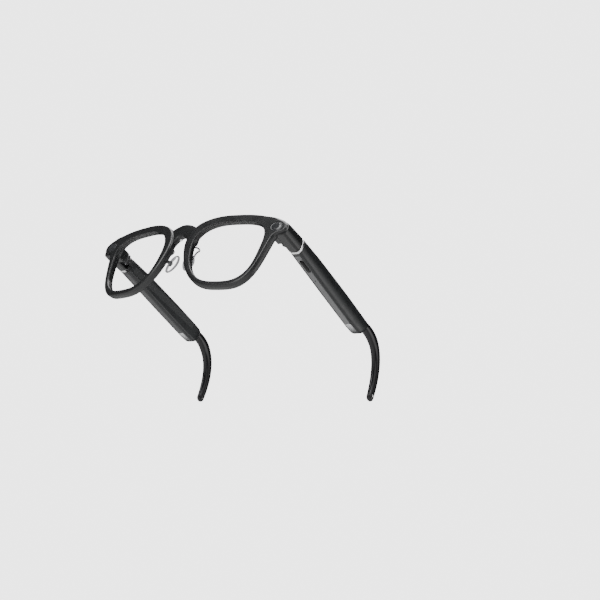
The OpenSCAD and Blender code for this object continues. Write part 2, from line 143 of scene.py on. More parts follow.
def finish_material(
    name, color, rough, spread=0.08, grain=900.0, bump=0.15, metallic=0.0, specular=0.5,
    coat=0.0, coat_rough=0.1, tint=0.12, wear=0.0, stretch=(1, 1, 1), edge=None, fade=0.0,
):
    """A moulded or metal finish: mottled colour and roughness, a fine grain in the normal, worn edges.

    fade is the share of the colour left at the rear of the piece, for a piece that darkens towards it.
    """
    m, nt, bsdf = new_material(name)
    n, link = nt.nodes, nt.links.new
    coord = n.new("ShaderNodeTexCoord")
    mapping = n.new("ShaderNodeMapping")
    mapping.inputs["Scale"].default_value = stretch
    link(coord.outputs["Object"], mapping.inputs["Vector"])
    blotch = n.new("ShaderNodeTexNoise")
    blotch.inputs["Scale"].default_value = 160
    blotch.inputs["Detail"].default_value = 5
    link(mapping.outputs["Vector"], blotch.inputs["Vector"])
    fine = n.new("ShaderNodeTexNoise")
    fine.inputs["Scale"].default_value = grain
    fine.inputs["Detail"].default_value = 3
    link(mapping.outputs["Vector"], fine.inputs["Vector"])

    shade = n.new("ShaderNodeMix")
    shade.data_type = "RGBA"
    dark = [c * (1 - tint) for c in color]
    light = [min(1, c * (1 + tint)) for c in color]
    shade.inputs["A"].default_value = (*dark, 1)
    shade.inputs["B"].default_value = (*light, 1)
    link(blotch.outputs["Fac"], shade.inputs["Factor"])
    out = shade.outputs["Result"]
    if wear:
        geo = n.new("ShaderNodeNewGeometry")
        ramp = n.new("ShaderNodeMapRange")
        ramp.inputs["From Min"].default_value = 0.52
        ramp.inputs["From Max"].default_value = 0.64
        ramp.inputs["To Max"].default_value = wear
        link(geo.outputs["Pointiness"], ramp.inputs["Value"])
        rub = n.new("ShaderNodeMix")
        rub.data_type = "RGBA"
        rub.inputs["B"].default_value = (*(edge or [min(1, c * 2.2 + 0.02) for c in color]), 1)
        link(ramp.outputs["Result"], rub.inputs["Factor"])
        link(out, rub.inputs["A"])
        out = rub.outputs["Result"]
    if fade:
        along = n.new("ShaderNodeSeparateXYZ")
        link(coord.outputs["Generated"], along.inputs["Vector"])
        fall = n.new("ShaderNodeMix")
        fall.data_type = "RGBA"
        fall.inputs["B"].default_value = (*(c * fade for c in color), 1)
        link(along.outputs["Y"], fall.inputs["Factor"])
        link(out, fall.inputs["A"])
        out = fall.outputs["Result"]
    link(out, bsdf.inputs["Base Color"])

    gloss = n.new("ShaderNodeMapRange")
    gloss.inputs["From Min"].default_value = 0.3
    gloss.inputs["From Max"].default_value = 0.7
    gloss.inputs["To Min"].default_value = max(0.02, rough - spread)
    gloss.inputs["To Max"].default_value = rough + spread
    link(blotch.outputs["Fac"], gloss.inputs["Value"])
    link(gloss.outputs["Result"], bsdf.inputs["Roughness"])
    if bump:
        b = n.new("ShaderNodeBump")
        b.inputs["Strength"].default_value = bump
        b.inputs["Distance"].default_value = GRAIN_DEPTH
        link(fine.outputs["Fac"], b.inputs["Height"])
        link(b.outputs["Normal"], bsdf.inputs["Normal"])
    bsdf.inputs["Metallic"].default_value = metallic
    bsdf.inputs["Specular IOR Level"].default_value = specular
    bsdf.inputs["Coat Weight"].default_value = coat
    bsdf.inputs["Coat Roughness"].default_value = coat_rough
    return m


def clear_material(name, color, rough, facing, edge_shade_color, edge_from, grain, haze_amount):
    """Clear lens or silicone: light passes through, with a faint sheen, a darker edge that is painted shade,
    and hazy patches.
    """
    m, nt, bsdf = new_material(name)
    n, link = nt.nodes, nt.links.new
    coord = n.new("ShaderNodeTexCoord")
    haze = n.new("ShaderNodeTexNoise")
    haze.inputs["Scale"].default_value = grain
    haze.inputs["Detail"].default_value = 4
    link(coord.outputs["Object"], haze.inputs["Vector"])
    gloss = n.new("ShaderNodeMapRange")
    gloss.inputs["To Min"].default_value = rough * 0.5
    gloss.inputs["To Max"].default_value = rough * 1.5
    link(haze.outputs["Fac"], gloss.inputs["Value"])
    link(gloss.outputs["Result"], bsdf.inputs["Roughness"])
    bsdf.inputs["Base Color"].default_value = (*color, 1)

    # Painted shade: the light let through takes the edge colour as the surface turns edge-on
    layer = n.new("ShaderNodeLayerWeight")
    layer.inputs["Blend"].default_value = 0.5
    rise = n.new("ShaderNodeMapRange")
    rise.interpolation_type = "SMOOTHSTEP"
    rise.inputs["From Min"].default_value = edge_from
    rise.inputs["To Min"].default_value = facing
    rise.inputs["To Max"].default_value = 1
    link(layer.outputs["Facing"], rise.inputs["Value"])
    tint = n.new("ShaderNodeMix")
    tint.data_type = "RGBA"
    tint.inputs["A"].default_value = (1, 1, 1, 1)
    tint.inputs["B"].default_value = (*edge_shade_color, 1)
    link(rise.outputs["Result"], tint.inputs["Factor"])
    through = n.new("ShaderNodeBsdfTransparent")
    link(tint.outputs["Result"], through.inputs["Color"])
    film = n.new("ShaderNodeMapRange")
    film.inputs["To Min"].default_value = haze_amount * 0.6
    film.inputs["To Max"].default_value = haze_amount * 1.4
    link(haze.outputs["Fac"], film.inputs["Value"])
    mix = n.new("ShaderNodeMixShader")
    link(film.outputs["Result"], mix.inputs["Fac"])
    link(through.outputs["BSDF"], mix.inputs[1])
    link(bsdf.outputs["BSDF"], mix.inputs[2])
    link(mix.outputs["Shader"], n["Material Output"].inputs["Surface"])
    return m


FRAME_BLACK = finish_material("frame_satin_black", (0.009, 0.0095, 0.01), 0.26, 0.04, 2600, 0.04, wear=0.1)
TEMPLE_BLACK = finish_material("temple_satin_black", (0.012, 0.013, 0.014), 0.3, 0.05, 2600, 0.05, wear=0.1)
COVER_BLACK = finish_material("cover_matt_black", (0.02, 0.021, 0.022), 0.45, 0.05, 3200, 0.06, tint=0.08)
STRIP_GREY = finish_material("strip_satin_grey", (0.12, 0.122, 0.124), 0.36, 0.06, 3000, 0.06)
# Painted shadow: the left strip is the same grey strip, darkened
STRIP_GREY_SHADED = finish_material("strip_satin_grey_painted_shadow", (0.04, 0.041, 0.042), 0.36, 0.06, 3000, 0.06)
HOOK_BLACK = finish_material(
    "hook_gloss_black", (0.006, 0.006, 0.007), 0.14, 0.03, 1200, 0.03, specular=0.3, coat=0.15,
    coat_rough=0.05,
)
BUTTON_BLACK = finish_material(
    "button_gloss_black", (0.004, 0.004, 0.004), 0.2, 0.05, 2000, 0.03, specular=0.15,
)
SILVER = finish_material(
    "silver_polished", (0.95, 0.955, 0.96), 0.24, 0.06, 2200, 0.06, metallic=1.0, stretch=(1, 4, 1),
)
STEEL = finish_material(
    "steel_turned", (0.72, 0.73, 0.75), 0.28, 0.08, 2600, 0.15, metallic=1.0, stretch=(1, 1, 6),
)
WIRE_STEEL = finish_material("wire_steel", (0.14, 0.14, 0.145), 0.25, 0.05, 2600, 0.05, metallic=1.0)
HINGE_DARK = finish_material(
    "hinge_plated_dark", (0.016, 0.016, 0.017), 0.4, 0.08, 2600, 0.14, metallic=0.2, wear=0.1,
    edge=(0.12, 0.12, 0.125),
)
CONTACT = finish_material("contact_dark_nickel", (0.2, 0.2, 0.21), 0.3, 0.07, 2200, 0.08, metallic=1.0)
GRILLE = finish_material(
    "grille_blasted_silver", (0.75, 0.76, 0.77), 0.42, 0.08, 4200, 0.15, metallic=0.6, fade=0.12,
)
WINDOW = finish_material(
    "window_smoked", (0.022, 0.023, 0.025), 0.14, 0.03, 900, 0.02, coat=0.25, coat_rough=0.06,
)
BOARD = finish_material("board_green", (0.02, 0.1, 0.04), 0.4, 0.1, 1400, 0.2, tint=0.3)
FLEX = finish_material("flex_film", (0.42, 0.2, 0.05), 0.3, 0.08, 1200, 0.1, tint=0.25)
CELL = finish_material("cell_pouch", (0.42, 0.44, 0.47), 0.35, 0.1, 900, 0.3, metallic=0.6)
PART_DARK = finish_material("inner_part_dark", (0.03, 0.03, 0.033), 0.45, 0.1, 1800, 0.2)
LENS = clear_material("lens_clear", (0.02, 0.021, 0.021), 0.02, 0.0, (0.8, 0.84, 0.84), 0.8, 40, 0.02)
# Painted shade on the pads: the silicone darkens to near black where it turns edge-on, and its edge faces
# take a dark tint all over
SILICONE = clear_material(
    "silicone_clear", (0.5, 0.51, 0.52), 0.2, 0.03, (0.002, 0.002, 0.002), 0.35, 500, 0.05,
)
SILICONE_EDGE_SHADE = clear_material(
    "silicone_edge_painted_shade", (0.5, 0.51, 0.52), 0.2, 1.0, (0.12, 0.12, 0.124), 0.5, 500, 0.1,
)


# ---------------------------------------------------------------- meshes


def make(name, verts, faces, material, body, replaces=(), slot=None, smooth=40, weighted=True):
    mesh = bpy.data.meshes.new(name)
    mesh.from_pydata([Vector(v) * MM for v in verts], [], faces)
    bm = bmesh.new()
    bm.from_mesh(mesh)
    bmesh.ops.remove_doubles(bm, verts=bm.verts, dist=1e-7)
    bmesh.ops.dissolve_degenerate(bm, edges=bm.edges, dist=1e-7)
    bmesh.ops.recalc_face_normals(bm, faces=bm.faces)
    bm.to_mesh(mesh)
    bm.free()
    obj = bpy.data.objects.new(name, mesh)
    bpy.context.scene.collection.objects.link(obj)
    mesh.materials.append(material)
    if body:
        place(obj, body, replaces, smooth, weighted)
    return obj


def place(obj, body, replaces=(), smooth=40, weighted=True):
    obj.data.shade_smooth()
    obj.data.set_sharp_from_angle(angle=radians(smooth))
    if weighted:
        w = obj.modifiers.new("even_normals", "WEIGHTED_NORMAL")
        w.keep_sharp = True
        w.weight = 60
    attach(obj, body)
    if replaces:
        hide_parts(*replaces)


def loft_faces(rings, count, closed_rings=False):
    """Faces between rings of count points each. A closed loft joins its ends; an open one caps them."""
    faces = []
    last = rings if closed_rings else rings - 1
    for i in range(last):
        a, b = i * count, ((i + 1) % rings) * count
        for j in range(count):
            k = (j + 1) % count
            faces.append((a + j, a + k, b + k, b + j))
    if not closed_rings:
        faces.append(tuple(range(count)))
        faces.append(tuple(range((rings - 1) * count, rings * count)))
    return faces


def loft(name, rings, material, body, closed_rings=False, **more):
    verts = [p for r in rings for p in r]
    return make(name, verts, loft_faces(len(rings), len(rings[0]), closed_rings), material, body, **more)


def boolean(target, tool, operation):
    m = target.modifiers.new("cut", "BOOLEAN")
    m.operation = operation
    m.object = tool
    m.solver = "EXACT"
    apply_modifier(target, m)
    bpy.data.objects.remove(tool)


def apply_modifier(obj, m):
    with bpy.context.temp_override(object=obj, active_object=obj, selected_objects=[obj]):
        bpy.ops.object.modifier_apply(modifier=m.name)


def rounded_box(name, x, y, z, radius, material, body=None, move=row, **more):
    """A box with rounded edges, as a mesh of its own."""
    bm = bmesh.new()
    bmesh.ops.create_cube(bm, size=1)
    for v in bm.verts:
        v.co = Vector((x[0] + (x[1] - x[0]) * (v.co.x + 0.5), y[0] + (y[1] - y[0]) * (v.co.y + 0.5),
                       z[0] + (z[1] - z[0]) * (v.co.z + 0.5)))
    bmesh.ops.bevel(bm, geom=bm.edges[:], offset=radius, segments=3, profile=0.5, affect="EDGES")
    verts = [move(tuple(v.co)) for v in bm.verts]
    bm.verts.index_update()
    faces = [tuple(v.index for v in f.verts) for f in bm.faces]
    bm.free()
    return make(name, verts, faces, material, body, **more)


def catmull(points, steps, closed=False):
    """A smooth curve through the points, steps pieces to each span."""
    n = len(points)
    out = []
    spans = n if closed else n - 1
    for i in range(spans):
        if closed:
            p = [Vector(points[(i + k) % n]) for k in (-1, 0, 1, 2)]
        else:
            p = [Vector(points[min(max(i + k, 0), n - 1)]) for k in (-1, 0, 1, 2)]
        for s in range(steps):
            t = s / steps
            out.append(0.5 * ((2 * p[1]) + (p[2] - p[0]) * t + (2 * p[0] - 5 * p[1] + 4 * p[2] - p[3]) * t * t
                              + (3 * p[1] - p[0] - 3 * p[2] + p[3]) * t ** 3))
    if not closed:
        out.append(Vector(points[-1]))
    return out


# ---------------------------------------------------------------- rims


def outline_point(outline, f):
    """The point of a squarish outline at f degrees, counted from its outer side upwards."""
    wide, high, shift_u, shift_v, skew, taper, square = outline
    n = square[int(f // 90) % 4]
    c, s = cos(radians(f)), sin(radians(f))
    r = 1 / (abs(c / wide) ** n + abs(s / high) ** n) ** (1 / n)
    u, v = r * c, r * s
    return Vector((shift_u + skew * v + u * (1 + taper * v / high), v + shift_v))


# The end piece's outline (u, v), which joins the rim's
END_PLATE = ((30.1, 9.3), (31.6, 10.6), (34, 11.4), (36.3, 12.7), (37, 14.9), (36.3, 17.2), (34.2, 19.2),
             (31, 20.7), (27, 21.9), (21.5, 22.9), (18.2, 23.6))
RIM_POINTS = 320
OUTLINE_STEP, RIM_FROM, RIM_TO = 4, 61, 371


def evenly(points, count):
    """A closed smooth curve through the points, as evenly spaced points, each with its inward normal."""
    path = catmull([(p[0], p[1], 0) for p in points], 8, closed=True)
    run = [0]
    for a, b in zip(path, path[1:] + path[:1]):
        run.append(run[-1] + (b - a).length)
    out, j = [], 0
    for i in range(count):
        want = run[-1] * i / count
        while run[j + 1] < want:
            j += 1
        out.append(path[j].lerp(path[(j + 1) % len(path)], (want - run[j]) / (run[j + 1] - run[j])))
    result = []
    for i, p in enumerate(out):
        ahead = out[(i + 1) % count] - out[i - 1]
        result.append((p, Vector((-ahead[1], ahead[0], 0)).normalized()))
    return result


RIM_OUTLINE = [outline_point(RIM, f % 360) for f in range(RIM_FROM, RIM_TO, OUTLINE_STEP)]
OPEN_OUTLINE = [outline_point(OPENING, f) for f in range(0, 360, OUTLINE_STEP)]
OUTER = evenly(RIM_OUTLINE + [Vector(p) for p in END_PLATE], RIM_POINTS)
INNER = evenly(OPEN_OUTLINE, RIM_POINTS)
# The rounded front edge: (share of the shoulder's width, share of its depth)
FRONT_STEPS = ((1.0, 0.0), (0.96, 0.01), (0.7, 0.115), (0.5, 0.23), (0.28, 0.43), (0.12, 0.65), (0.03, 0.87),
               (0.0, 1.0))
# The rear edge: (inset, distance from the rear face)
REAR_STEPS = ((0.0, 1.5), (0.03, 0.7), (0.15, 0.3), (0.4, 0.06), (0.65, 0.0))
# The wall of the opening, with the lens groove's lip: (inset, depth)
OPEN_PROFILE = ((-0.5, 0.0), (-0.33, 0.04), (-0.2, 0.14), (-0.14, 0.3), (-0.12, 0.62), (-0.06, 0.68),
                (0.0, 0.78), (0.0, 2.7), (-0.35, 2.76), (-0.38, RIM_T - 0.35), (-0.5, RIM_T - 0.08),
                (-0.75, RIM_T))
SHOULDER_TOP, SHOULDER_SIDE, SHOULDER_END = 0.55, 1.75, 1.3


def shoulder(p):
    """How far the rounded front edge reaches in: little along the top and the end piece, more below."""
    u, v = p[0], p[1]
    drop = min(1, max(0, (19 - v) / 7))
    end = min(1, max(0, (u - 27.5) / 3)) * min(1, max(0, (v - 7) / 3))
    w = SHOULDER_TOP + (SHOULDER_SIDE - SHOULDER_TOP) * drop
    return w + (SHOULDER_END - w) * end


def moved_in(side, p, n, inset, depth):
    """An outline point moved in along its normal, at a depth behind the front face."""
    return lens_row(side, p[0] + n[0] * inset, p[1] + n[1] * inset, depth)


def outer_rings(side):
    """The rim's outside, from its front face over the rounded shoulder and back to its rear face."""
    rings = []
    for share, deep in FRONT_STEPS:
        rings.append([moved_in(side, p, n, w * share, (0.6 + 0.45 * w) * deep)
                      for p, n in OUTER for w in [shoulder(p)]])
    for inset, rise in REAR_STEPS:
        rings.append([moved_in(side, p, n, inset, RIM_T - rise) for p, n in OUTER])
    return rings


def open_rings(side):
    return [[moved_in(side, p, n, inset, depth) for p, n in INNER] for inset, depth in OPEN_PROFILE]


def rim(name, side):
    """A rim with its end piece: bands round the outside and the opening, and flat faces between them."""
    bm = bmesh.new()
    edges = {0: [], -1: []}
    for points in (outer_rings(side), open_rings(side)):
        rings = [[bm.verts.new(p) for p in ring] for ring in points]
        for a, b in zip(rings, rings[1:]):
            for j in range(RIM_POINTS):
                k = (j + 1) % RIM_POINTS
                bm.faces.new((a[j], a[k], b[k], b[j]))
        for end in edges:
            ring = rings[end]
            edges[end] += [bm.edges.get((ring[j], ring[(j + 1) % RIM_POINTS])) for j in range(RIM_POINTS)]
    for ring in edges.values():
        bmesh.ops.triangle_fill(bm, use_beauty=True, use_dissolve=False, edges=ring)
    bm.verts.index_update()
    verts, faces = [tuple(v.co) for v in bm.verts], [tuple(v.index for v in f.verts) for f in bm.faces]
    bm.free()
    return make(name, verts, faces, FRAME_BLACK, None)


# ---------------------------------------------------------------- temple section


def section(h, groove=0.0, inset=0.0, x_in=SIDE_X - TEMPLE_T, x_out=SIDE_X):
    """Temple section as (x, height), from the bottom groove round the outside and over to the inside."""
    x0, x1, lo, hi = x_out - inset, x_in + inset, inset, h - inset
    outer = catmull([(x0 - 1.5, lo + 0.12), (x0 - 0.72, lo + 0.12 * h), (x0 - 0.25, lo + 0.27 * h),
                     (x0, h * 0.5), (x0 - 0.28, h * 0.72), (x0 - 0.95, h * 0.88), (x0 - 2.0, hi - 0.35),
                     (x0 - 3.2, hi)], 4)
    top = [Vector((x1 + 3, hi)), Vector((x1 + 2.2, hi - 0.02))]
    brow = catmull([(x1 + 1.5, hi - 0.2), (x1 + 0.6, hi - 0.75), (x1 + 0.12, hi - 1.5), (x1, hi - 2.2)], 3)
    inner = [Vector((x1, h * 0.5)), Vector((x1, lo + 2.1))]
    foot = catmull([(x1 + 0.02, lo + 1.7), (x1 + 0.3, lo + 0.85), (x1 + 0.9, lo + 0.25),
                    (x1 + 1.5, lo + 0.03)], 3)
    g0, g1 = max(65.9, x1 + 1.6), min(70.05, x0 - 1.75)
    edge = [Vector((g0, lo)), Vector((g0, lo + groove)), Vector((g1, lo + groove)), Vector((g1, lo)),
            Vector((x0 - 1.62, lo + 0.03))]
    return [tuple(p[:2]) for p in outer + top + brow + inner + foot + edge]


def bottom(y):
    return lookup(BOTTOM, y)


def top_edge(y):
    return lookup(TOP, y)


def temple_ring_at(side, y, low, h, **more):
    """The temple's section at y, its foot at the height low."""
    return [row((side * x, y, low + z)) for x, z in section(h, **more)]


STRIP_FROM, STRIP_TO, STRIP_SPANS, STRIP_DEEP = 23.9, 95.7, 24, 1
END_LOW = 29.55
# The shell's rounded rear end: (y, bottom, inner x, outer x, inset)
SHELL_END = ((97.2, 29.75, 64.25, 71.98, 0), (98.6, 30.3, 64.4, 71.94, 0), (99.8, 31.2, 64.65, 71.9, 0),
             (100.8, 32.4, 65.0, 71.84, 0), (101.5, 33.4, 65.4, 71.75, 0), (102.2, 34.0, 65.7, 71.65, 0.25),
             (102.5, 34.1, 65.9, 71.55, 0.9))


def temple_shell(side_name):
    """The temple's outer moulding, with a groove below for the strip and a recess inside for the cover."""
    side = SIDES[side_name]
    rings = []

    def add(y, groove, inset=0.0, low=None, **more):
        b = bottom(y) if low is None else low
        rings.append(temple_ring_at(side, y, b, top_edge(y) - b, groove=groove, inset=inset, **more))

    add(SHELL_Y + 0.02, 0, 0.22)
    add(SHELL_Y + 0.15, 0, 0.05)
    add(SHELL_Y + 0.4, 0)
    add(STRIP_FROM - 0.05, 0)
    add(STRIP_FROM, STRIP_DEEP)
    for i in range(1, STRIP_SPANS):
        add(STRIP_FROM + (STRIP_TO - STRIP_FROM) * i / STRIP_SPANS, STRIP_DEEP)
    add(STRIP_TO, STRIP_DEEP, low=END_LOW)
    add(STRIP_TO + 0.05, 0, low=END_LOW)
    for y, low, x_in, x_out, inset in SHELL_END:
        add(y, 0, inset, low=low, x_in=x_in, x_out=x_out)
    shell = loft(f"temple_shell_{side_name}_skin", rings, TEMPLE_BLACK, None)
    x = sorted((side * COVER_X[0], side * COVER_X[1]))
    boolean(shell, rounded_box("cover_room", x, COVER_Y, COVER_Z, 0.1, TEMPLE_BLACK), "DIFFERENCE")
    place(shell, TEMPLE[side_name], [f"temple_shell_{side_name}"], smooth=38)


def temple_band(side_name):
    """The silver band behind the fold: an open C, with the hinge leaf in its gap."""
    side = SIDES[side_name]
    steps = ((RING_Y, 0.2), (RING_Y + 0.12, 0.02), (RING_Y + 0.3, -0.04), (SHELL_Y - 0.3, -0.04),
             (SHELL_Y - 0.12, 0.02), (SHELL_Y - 0.02, 0.2), (SHELL_Y - 0.02, 1.1), (RING_Y, 1.1))
    rings = [temple_ring_at(side, y, BAND_Z, BAND_H, inset=i) for y, i in steps]
    band = loft(f"temple_band_{side_name}", rings, SILVER, None, closed_rings=True)
    x = sorted((side * 58, side * RING_INNER_X))
    boolean(band, rounded_box("leaf_room", x, (RING_Y - 1, SHELL_Y + 1), (31, 47), 0.2, SILVER), "DIFFERENCE")
    place(band, TEMPLE[side_name], [f"temple_ring_{side_name}"], smooth=40)


def housing(side):
    """The stub behind the end piece, up to the fold: (y, inset, low, height) at each ring."""
    steps = ((4.4, 0.5, 34.5, 9.0), (4.8, 0.1, 34.4, 9.2), (8, 0, 34.3, 9.55), (14, 0, 34.22, 10.0),
             (19.6, 0, BAND_Z, 10.38), (19.9, 0.08, BAND_Z, BAND_H), (FOLD_Y - 0.02, 0.25, BAND_Z, BAND_H))
    rings = []
    for y, inset, low, h in steps:
        rings.append(temple_ring_at(side, y, low, h, inset=inset))
    return loft("housing", rings, FRAME_BLACK, None)


# ---------------------------------------------------------------- front frame


def arch(x):
    """Height of the bridge's underside."""
    return BRIDGE_ARCH - ARCH_DROP * (x / ARCH_HALF) ** 2


def bridge():
    """The bridge, swept across as squarish rings between its crown and its arch, bowed forward."""
    rings = []
    steps, around, n = 44, 44, 6
    for i in range(steps + 1):
        x = -BRIDGE_HALF + 2 * BRIDGE_HALF * i / steps
        top = BRIDGE_CROWN - 3.2 * (x / 10) ** 2
        low = max(BRIDGE_FOOT, arch(x))
        y0 = -2.6 + 0.5 * (x / 10) ** 2
        y1 = 1.9 + 0.2 * (x / 10) ** 2
        cz, cy, a, b = (top + low) / 2, (y0 + y1) / 2, (y1 - y0) / 2, (top - low) / 2
        ring = []
        for j in range(around):
            t = 2 * pi * j / around
            r = 1 / (abs(cos(t) / a) ** n + abs(sin(t) / b) ** n) ** (1 / n)
            ring.append(lean((x, cy + r * cos(t), cz + r * sin(t))))
        rings.append(ring)
    return loft("bridge", rings, FRAME_BLACK, None)


def stadium(half, r):
    """A slot's outline: two half circles of radius r, with centres half to either side."""
    pts, steps = [], 20
    for way in (1, -1):
        for i in range(steps + 1):
            a = -way * pi / 2 + pi * i / steps
            pts.append((way * half + r * cos(a), r * sin(a)))
    return pts


def window_ring(side, half, r, d):
    return [lens_row(side, WINDOW_U + u, WINDOW_V + v, d) for u, v in stadium(half, r)]


def front_frame():
    """Rims, bridge and end housings as one moulding, with room for the hinges and the windows."""
    shell = rim("front_frame_shell", 1)
    parts = [rim("other_rim", -1), bridge()]
    for side in (1, -1):
        parts.append(housing(side))
        x = sorted((side * BLOCK_X[0], side * BLOCK_X[1]))
        parts.append(rounded_box("block", x, BLOCK_Y, BLOCK_Z, 0.5, FRAME_BLACK))
    for p in parts:
        boolean(shell, p, "UNION")
    for side in (1, -1):
        x = sorted((side * 58, side * 67))
        room = rounded_box("hinge_room", x, (BLOCK_Y[1], FOLD_Y + 1), (LIP_Z, 47), 0.3, FRAME_BLACK)
        boolean(shell, room, "DIFFERENCE")
        pocket = [window_ring(side, WINDOW_HALF, WINDOW_R + 0.12, d) for d in (-1, 0.8)]
        boolean(shell, loft("pocket", pocket, FRAME_BLACK, None), "DIFFERENCE")
    place(shell, "front", ["front_frame"], smooth=32)


def window(side_name, node):
    """A domed glass with a fine groove round it: (share of the half length, inset, depth) at each ring."""
    steps = ((1, 0, 0.8), (1, 0, 0.2), (1, 0.1, 0.06), (1, 0.3, 0.0), (1, 0.48, 0.04), (1, 0.62, 0.12),
             (1, 0.75, 0.06), (1, 1.1, -0.06), (1, 1.7, -0.14), (0.8, 2.4, -0.18), (0.4, 2.9, -0.19))
    side = SIDES[side_name]
    rings = [window_ring(side, WINDOW_HALF * share, WINDOW_R - inset, depth) for share, inset, depth in steps]
    loft(f"{node}_glass", rings, WINDOW, "front", replaces=[node], slot="window_dark", smooth=60)


def lens(side_name):
    """A lens with a curved front and back, its edge in the rim's groove."""
    side = SIDES[side_name]
    outline = [p - n * 0.65 for p, n in evenly(OPEN_OUTLINE, 120)]
    bow = 1.3

    def ring(scale, d):
        points = []
        for p in outline:
            u, v = p[0] * scale, p[1] * scale
            points.append(lens_row(side, u, v, d + bow * (u ** 2 + v ** 2) / 900 - bow))
        return points

    scales = [0.02, 0.2, 0.4, 0.6, 0.8, 0.93, 0.99]
    front = [ring(s, 1.72) for s in scales]
    rings = front + [ring(1.0, 1.85), ring(1.0, 3.1)] + [ring(s, 3.25) for s in reversed(scales)]
    loft(f"lens_clear_{side_name}", rings, LENS, "front", replaces=[f"lens_{side_name}"], slot="lens_clear",
         smooth=50, weighted=False)


# ---------------------------------------------------------------- nose


def tube(name, points, radius, material, body, **more):
    """A round wire along a smooth curve through the points, with rounded ends."""
    path = catmull(points, 6)
    rings = []
    up = Vector((0.3, 0.2, 1)).normalized()
    for i, p in enumerate(path):
        ahead = (path[min(i + 1, len(path) - 1)] - path[max(i - 1, 0)]).normalized()
        up = (up - ahead * up.dot(ahead)).normalized()
        side = ahead.cross(up)
        rings.append((p, ahead, up.copy(), side))

    turns = [2 * pi * j / 16 for j in range(16)]

    def circle(p, up, side, r):
        return [tuple(p + up * (r * cos(t)) + side * (r * sin(t))) for t in turns]

    def nose_of(ring, way, beyond, share):
        p, ahead, u, s = ring
        return circle(p + ahead * way * radius * beyond, u, s, radius * share)

    out = [nose_of(rings[0], -1, 0.7, 0.35), nose_of(rings[0], -1, 0.5, 0.75)]
    out += [circle(p, u, s, radius) for p, _, u, s in rings]
    out += [nose_of(rings[-1], 1, 0.5, 0.75), nose_of(rings[-1], 1, 0.7, 0.35)]
    loft(name, out, material, body, smooth=70, weighted=False, **more)


def nose(side_name):
    """One nose pad with its bent wire, pin and clasp."""
    side = SIDES[side_name]
    body = PAD[side_name]
    pts = [Vector(lean((side * x, y, z))) for x, y, z in WIRE]
    pts.append(Vector(pad_row(side, (0, 0, -3.3))))
    pts.append(Vector(pad_row(side, (0, 0, PAD_PIN_Z - 0.1))))
    tube(f"nose_wire_{side_name}_bent", pts, WIRE_R, WIRE_STEEL, "front", replaces=[f"nose_wire_{side_name}"],
         slot="silver")
    pin = [Vector(pad_row(side, (x, 0, PAD_PIN_Z))) for x in (-1.4, 0, 1.4)]
    tube(f"nose_pin_{side_name}", pin, PIN_R, WIRE_STEEL, "front", slot="silver")

    def move(p):
        return pad_row(side, p)

    rounded_box(f"nose_clasp_{side_name}_box", (-1.3, 1.3), (-1.3, 1.3), (-1.5, -0.95), 0.18, STEEL, body,
                move=move, replaces=[f"nose_clasp_{side_name}"], slot="silver")
    for i, s in enumerate((-1, 1)):
        across = (s * 1.05 - 0.25, s * 1.05 + 0.25)
        rounded_box(f"nose_clasp_{side_name}_ear{i + 1}", across, (-1.0, 1.0), (-3.15, -1.3), 0.16, STEEL,
                    body, move=move, slot="silver")

    # The pad: a soft crowned egg outline, thin at the rim
    count = 64
    outline = []
    for j in range(count):
        t = 2 * pi * j / count
        r = 3.3 + 0.4 * sin(t)
        outline.append((r * cos(t), 6.9 * sin(t) - 0.1))
    stack = ((-1.0, 0.3), (-1.0, 0.62), (-0.98, 0.8), (-0.86, 0.9), (-0.6, 0.965), (-0.2, 0.995), (0.2, 1.0),
             (0.55, 0.97), (0.85, 0.9), (1.1, 0.78), (1.28, 0.6), (1.37, 0.36), (1.4, 0.12))
    rings = [[pad_row(side, (x * s, y * s, z)) for x, y in outline] for z, s in stack]
    pad = loft(f"nose_pad_{side_name}_silicone", rings, SILICONE, body, replaces=[f"nose_pad_{side_name}"],
               slot="silicone", smooth=60, weighted=False)
    # Its edge bends light away, so it looks darker than the middle: the edge faces take a darker tint,
    # painted shade
    pad.data.materials.append(SILICONE_EDGE_SHADE)
    facing = (Vector(pad_row(side, (0, 0, 1))) - Vector(pad_row(side, (0, 0, 0)))).normalized()
    for face in pad.data.polygons:
        face.material_index = int(abs(face.normal.dot(facing)) < 0.88)


def microphone_caps():
    """Two small domed caps on the underside of the bridge, set square to its arch."""
    verts, faces = [], []
    for side in (-1, 1):
        slope = -2 * ARCH_DROP * CAP_X / ARCH_HALF ** 2
        across, down = Vector((1, 0, slope)).normalized(), Vector((slope, 0, -1)).normalized()
        base = len(verts)
        rings = ((1.0, -0.3), (1.0, 0.05), (0.9, 0.18), (0.7, 0.25), (0.62, 0.12), (0.3, 0.1))
        for share, out in rings:
            for j in range(24):
                t = 2 * pi * j / 24
                r = CAP_R * share
                q = Vector((CAP_X, CAP_Y + r * sin(t), arch(CAP_X))) + across * (r * cos(t)) + down * out
                verts.append(lean((side * q[0], q[1], q[2])))
        faces += [tuple(base + k for k in f) for f in loft_faces(len(rings), 24)]
    make("bridge_microphone_caps", verts, faces, SILVER, "front", ["bridge_microphone"], "steel", smooth=50)


# ---------------------------------------------------------------- ear hooks


def bezier(p, t):
    return (1 - t) ** 3 * p[0] + 3 * (1 - t) ** 2 * t * p[1] + 3 * (1 - t) * t * t * p[2] + t ** 3 * p[3]


